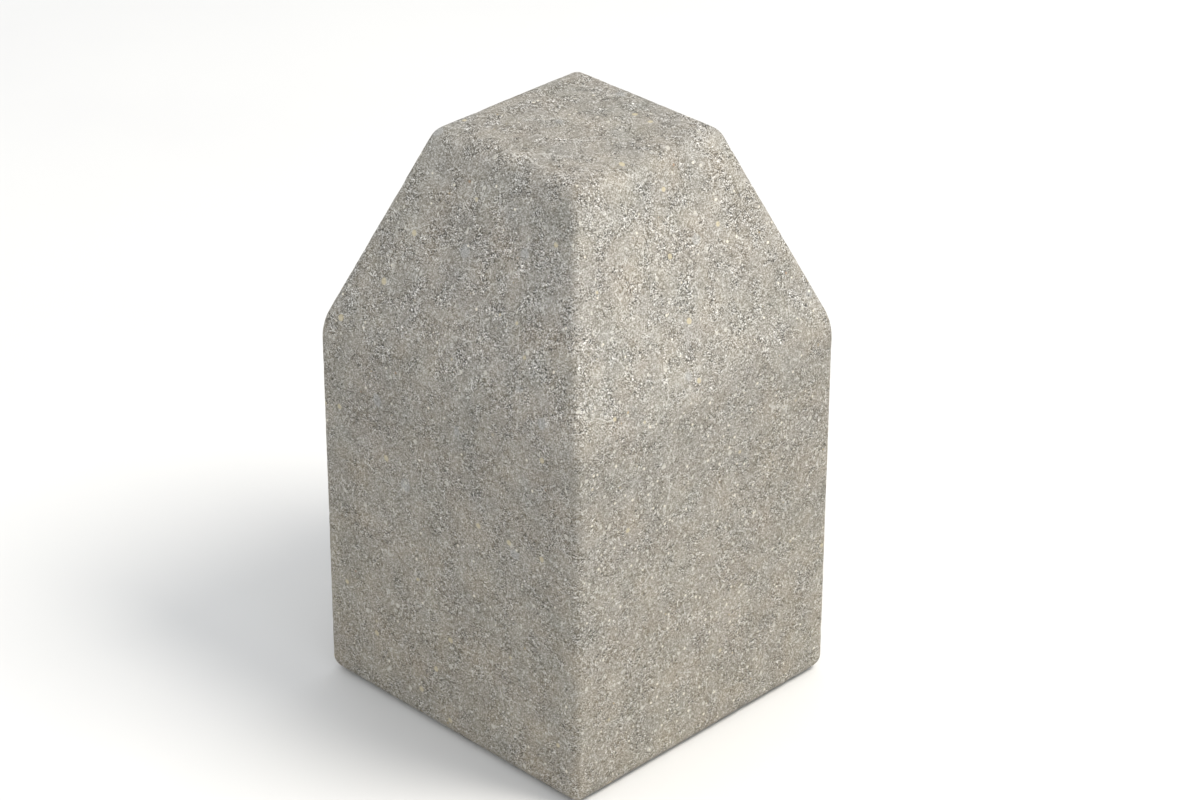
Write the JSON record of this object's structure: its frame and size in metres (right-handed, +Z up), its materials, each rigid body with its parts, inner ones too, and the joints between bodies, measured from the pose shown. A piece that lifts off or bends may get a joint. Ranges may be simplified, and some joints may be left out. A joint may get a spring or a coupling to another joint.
{
  "type": "concrete barrier block",
  "caption": "Free-standing precast concrete barrier block: square foot, upright sides, sloped shoulders and flat top, reinforced inside, with a lifting socket underneath.",
  "frame": {"origin": "middle of the foot, on the ground", "axes": "+Z up; X and Y square to the upright sides, which are alike all round"},
  "size_m": [0.3, 0.3, 0.514],
  "materials": {
    "concrete": "cast concrete, fine sandy grain",
    "reinforcing_steel": "mill scale with light rust",
    "tie_wire": "black annealed",
    "spacer_plastic": "moulded grey",
    "zinc_plated_steel": "zinc plated"
  },
  "bodies": {
    "root": {"concrete_body": "concrete", "corner_bar_1": "reinforcing_steel", "corner_bar_2": "reinforcing_steel", "corner_bar_3": "reinforcing_steel", "corner_bar_4": "reinforcing_steel", "link_1": "reinforcing_steel", "link_2": "reinforcing_steel", "link_3": "reinforcing_steel", "link_4": "reinforcing_steel", "head_link_1": "reinforcing_steel", "head_link_2": "reinforcing_steel", "tie_wires_1": "tie_wire", "tie_wires_2": "tie_wire", "tie_wires_3": "tie_wire", "tie_wires_4": "tie_wire", "tie_wires_5": "tie_wire", "tie_wires_6": "tie_wire", "low_spacer_1": "spacer_plastic", "low_spacer_2": "spacer_plastic", "low_spacer_3": "spacer_plastic", "low_spacer_4": "spacer_plastic", "mid_spacer_1": "spacer_plastic", "mid_spacer_2": "spacer_plastic", "mid_spacer_3": "spacer_plastic", "mid_spacer_4": "spacer_plastic", "head_spacer_1": "spacer_plastic", "head_spacer_2": "spacer_plastic", "head_spacer_3": "spacer_plastic", "head_spacer_4": "spacer_plastic", "lifting_socket": "zinc_plated_steel", "socket_cross_bar": "reinforcing_steel"}
  },
  "joints": []
}
